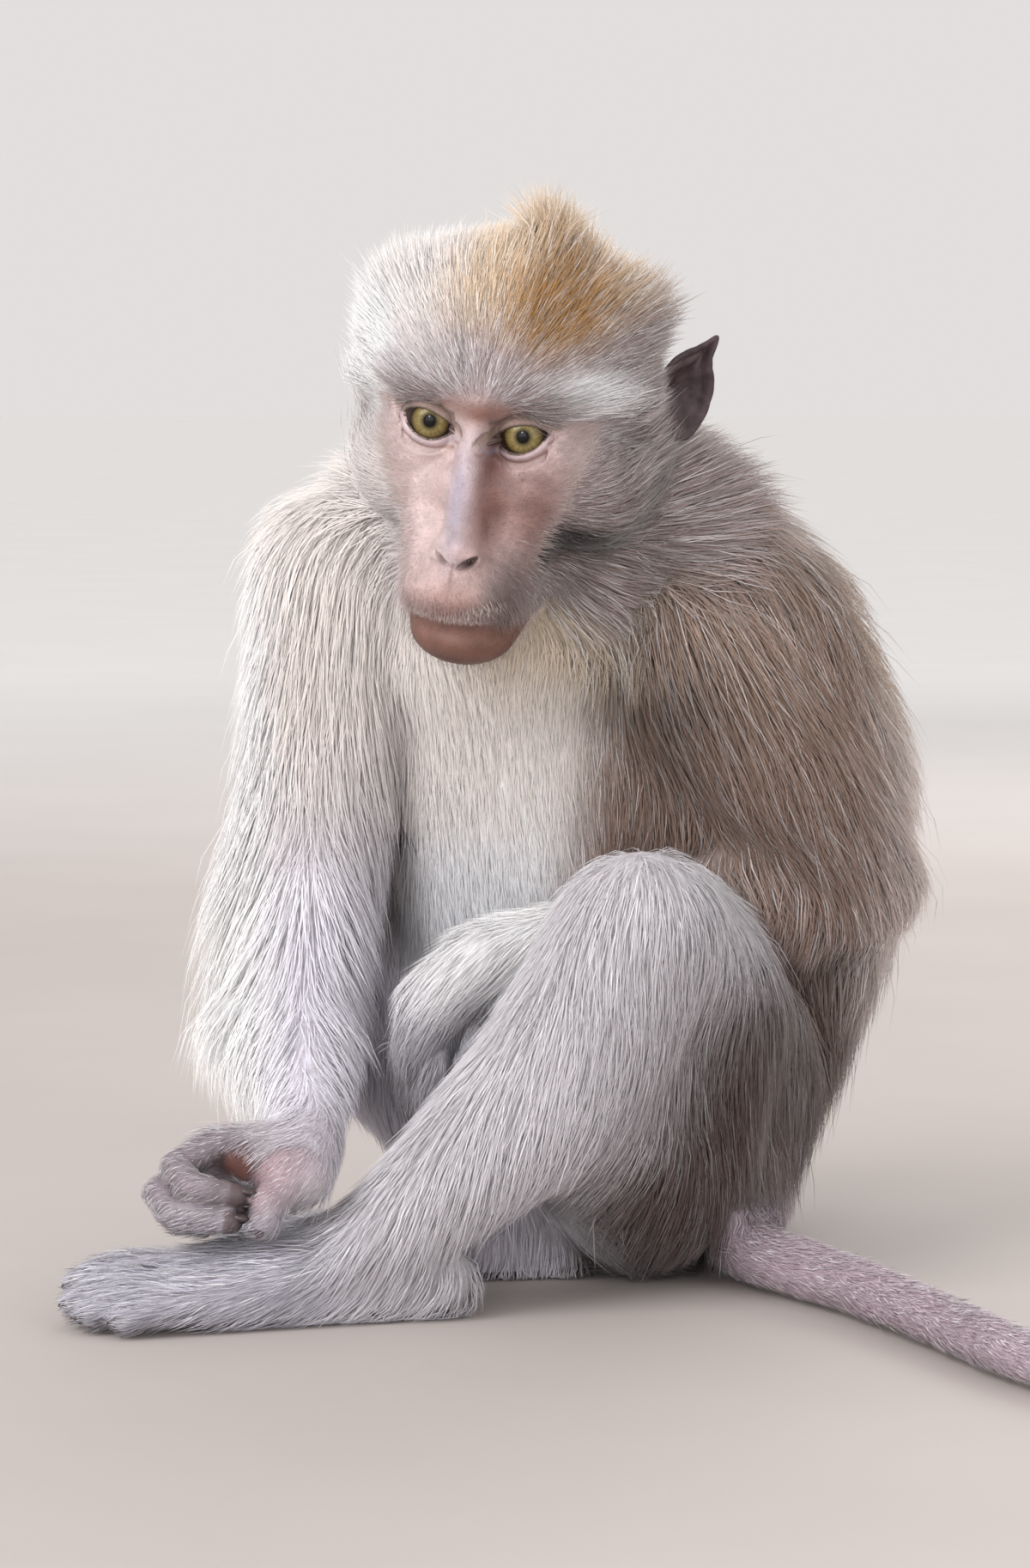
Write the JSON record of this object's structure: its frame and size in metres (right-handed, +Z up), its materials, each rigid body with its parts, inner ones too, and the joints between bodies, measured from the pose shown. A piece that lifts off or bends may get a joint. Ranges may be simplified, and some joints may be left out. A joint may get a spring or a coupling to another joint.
{
  "type": "sitting long-tailed macaque, still life-size model",
  "caption": "Life-size still model of a long-tailed macaque sitting hunched on the floor, one hand resting on its foot, with its tail lying beside it.",
  "frame": {"origin": "middle of the seat, where the haunches rest on the floor", "axes": "+Z up, -Y towards the viewer that the face is turned to, +X to that viewer's right, where the tail leads"},
  "size_m": [0.4839, 0.4349, 0.3731],
  "materials": {
    "back_coat": "golden brown to brown grey fur, dull",
    "grey_coat": "lilac grey fur with white outer hairs, dull",
    "head_coat": "bare pink face with grey and golden fur around it",
    "ear_skin": "dark purple grey bare skin",
    "iris": "wet, olive yellow iris and black pupil"
  },
  "bodies": {
    "root": {"head": "head_coat", "eye_left": "iris", "eye_right": "iris", "ear_left": "ear_skin", "ear_right": "ear_skin", "neck": "back_coat", "torso": "back_coat", "pelvis": "back_coat", "upper_arm_left": "grey_coat", "forearm_left": "grey_coat", "hand_left": "grey_coat", "upper_arm_right": "grey_coat", "forearm_right": "grey_coat", "hand_right": "grey_coat", "thigh_left": "grey_coat", "shin_left": "grey_coat", "foot_left": "grey_coat", "thigh_right": "grey_coat", "shin_right": "grey_coat", "foot_right": "grey_coat", "tail_root": "grey_coat", "tail_middle": "grey_coat", "tail_end": "grey_coat"}
  },
  "joints": []
}
